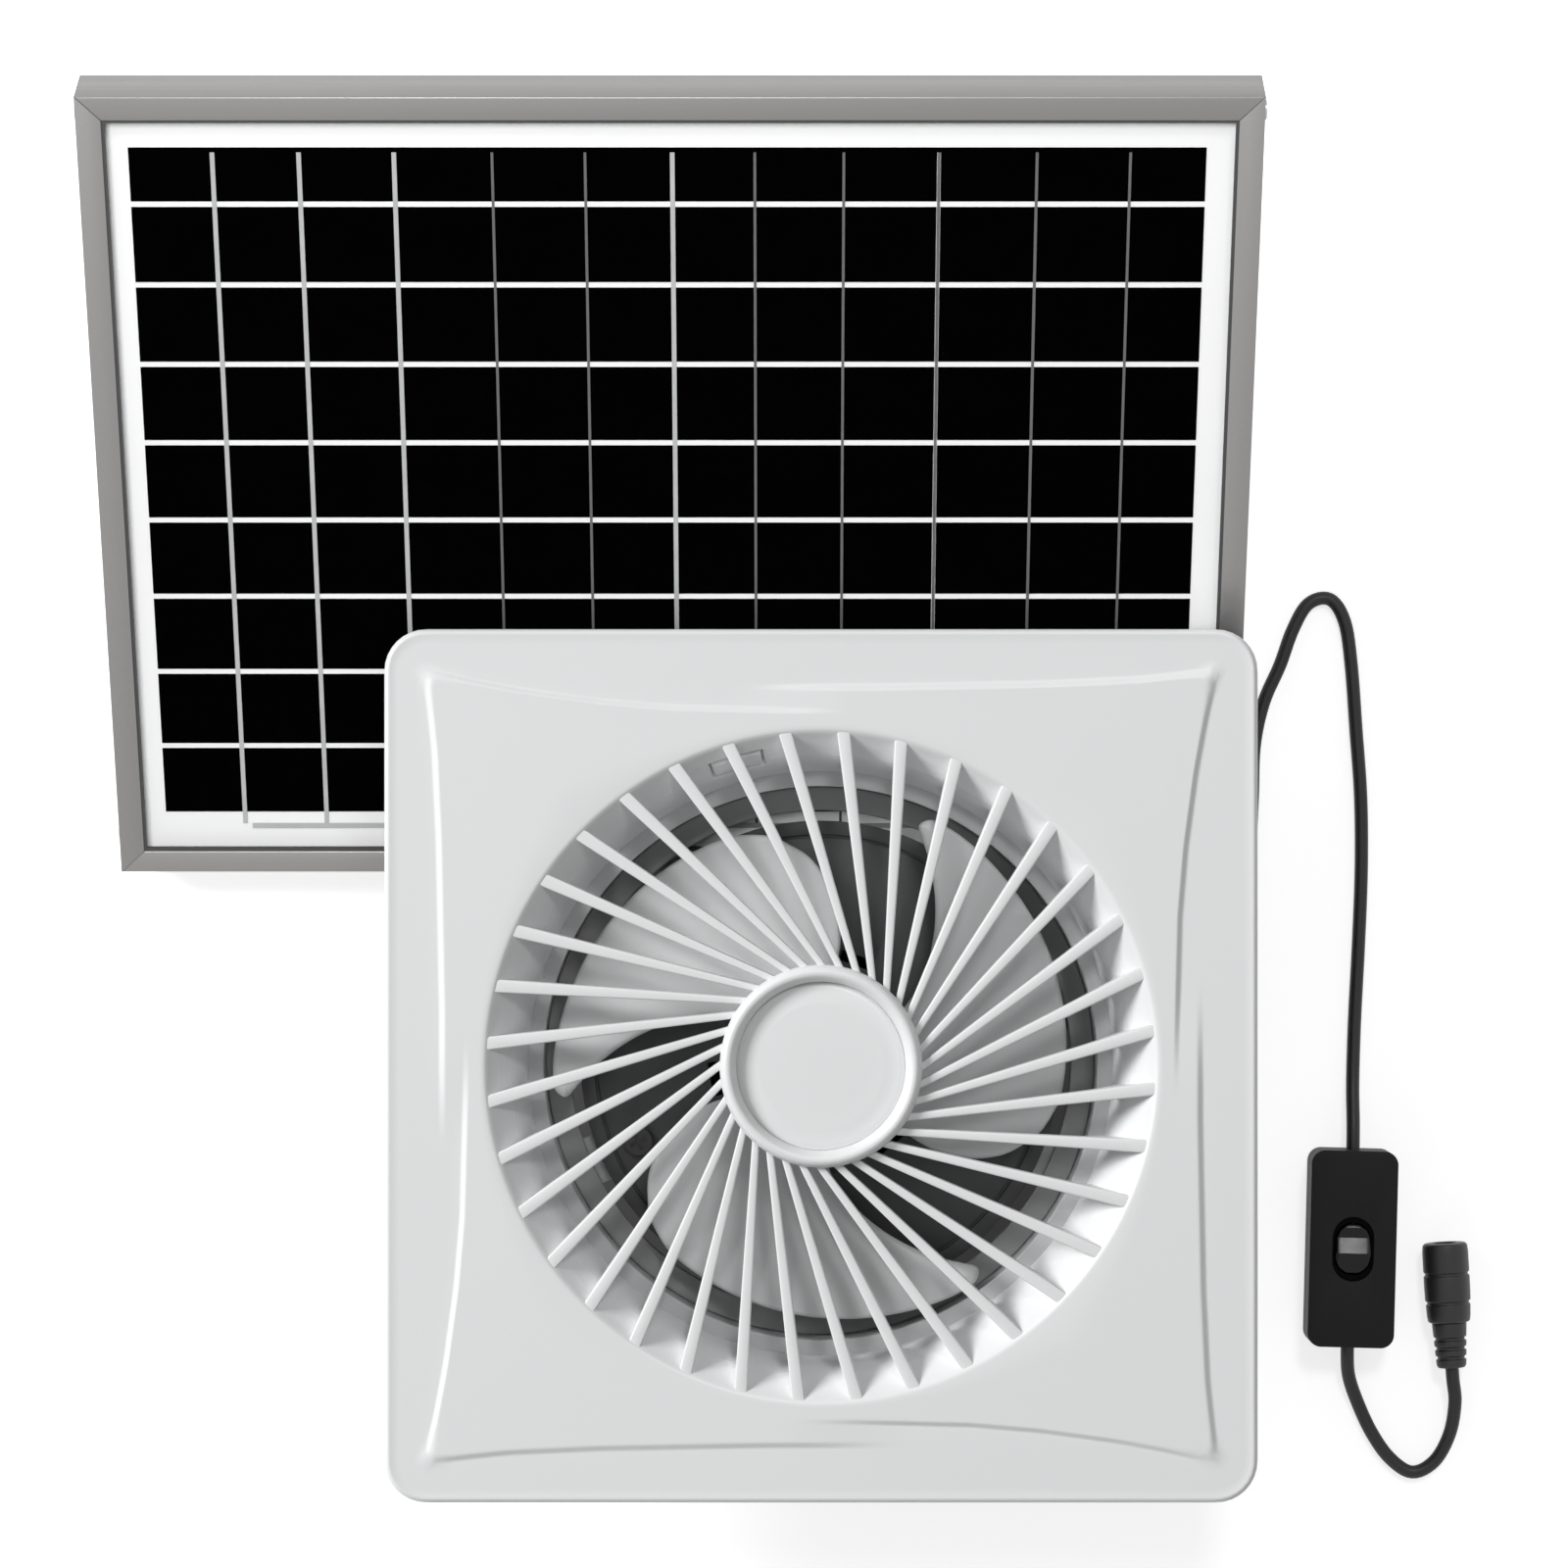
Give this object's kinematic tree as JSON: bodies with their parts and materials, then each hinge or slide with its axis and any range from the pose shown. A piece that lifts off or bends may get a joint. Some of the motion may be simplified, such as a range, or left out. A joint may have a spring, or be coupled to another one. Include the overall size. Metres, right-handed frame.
{
  "type": "solar attic fan",
  "caption": "Solar ducted extractor fan kit: square slatted fan, framed solar panel on a fold-out stay, and a lead with an inline rocker switch and a DC socket.",
  "frame": {"origin": "centre of the fan's rear foot, on the surface that it lies on", "axes": "+Z along the fan's axis, towards its face; +Y up the slope of the panel, away from the fan; +X to the lead's side"},
  "size_m": [0.4001, 0.4034, 0.1306],
  "materials": {
    "white_plastic": "satin moulded",
    "grey_plastic": "satin moulded",
    "dark_plastic": "matte moulded",
    "black_plastic": "semi-gloss moulded",
    "black_rubber": "matte",
    "steel": "plated",
    "ferrite": "ground",
    "copper": "plain",
    "board": "solder mask",
    "anodised": "satin anodised",
    "cover_glass": "clear",
    "cell_black": "dark coated",
    "ribbon_metal": "dull tinned",
    "white_backsheet": "matte film"
  },
  "bodies": {
    "base": {"base_flange": "grey_plastic", "base_collar": "grey_plastic", "base_throat": "grey_plastic", "base_arms": "grey_plastic", "rear_plate": "dark_plastic", "plate_screws": "steel", "pod_cover": "dark_plastic", "pod_screws": "steel", "motor_can": "steel", "motor_end_bell": "dark_plastic", "motor_stator": "copper", "motor_bushes": "copper", "motor_screws": "steel", "driver_board": "board", "motor_leads": "black_rubber", "gland": "black_plastic", "gland_nut": "black_plastic", "lead_main": "black_rubber", "lead_tail": "black_rubber", "switch_lower": "black_plastic", "switch_upper": "black_plastic", "switch_screws": "steel", "switch_contacts": "copper", "socket_relief": "black_rubber", "socket_body": "black_plastic", "socket_barrel": "steel", "socket_pin": "steel"},
    "cover": {"cover_plate": "white_plastic", "cover_grille": "white_plastic", "hub_disc": "white_plastic"},
    "rotor": {"impeller": "white_plastic", "shaft": "steel", "rotor_magnet": "ferrite", "impeller_nut": "steel", "shaft_collar": "steel"},
    "panel": {"frame_bottom": "anodised", "frame_top": "anodised", "frame_left": "anodised", "frame_right": "anodised", "corner_keys": "steel", "frame_screws": "steel", "glass": "cover_glass", "cells": "cell_black", "ribbons": "ribbon_metal", "bus_ribbon": "ribbon_metal", "backsheet": "white_backsheet", "edge_seal": "black_rubber", "box_base": "black_plastic", "box_lid": "black_plastic", "box_gland": "black_plastic", "box_diode": "dark_plastic", "box_terminals": "copper"},
    "stay": {"stay_leg_left": "steel", "stay_leg_right": "steel", "stay_crossbar": "steel", "stay_feet": "black_rubber", "stay_clips": "steel"},
    "rocker": {"rocker": "black_plastic", "rocker_pin": "steel"}
  },
  "joints": [
    {"name": "cover_pull", "type": "slide", "parent": "base", "child": "cover", "axis": [0, 0, 1], "range_m": [0, 0.1]},
    {"name": "rotor_spin", "type": "hinge", "parent": "base", "child": "rotor", "pos_m": [0, 0, 0.046], "axis": [0, 0, 1], "continuous": true},
    {"name": "panel_part", "type": "slide", "parent": "base", "child": "panel", "axis": [0, 1, 0], "range_m": [0, 0.2]},
    {"name": "stay_fold", "type": "hinge", "parent": "panel", "child": "stay", "pos_m": [-0.042, 0.21407, 0.08812], "axis": [1, 0, 0], "range_deg": [-90, 0]},
    {"name": "rocker_tip", "type": "hinge", "parent": "base", "child": "rocker", "pos_m": [0.1572, -0.0565, 0.0136], "axis": [0.9997, -0.0262, 0], "range_deg": [0, 16]}
  ]
}
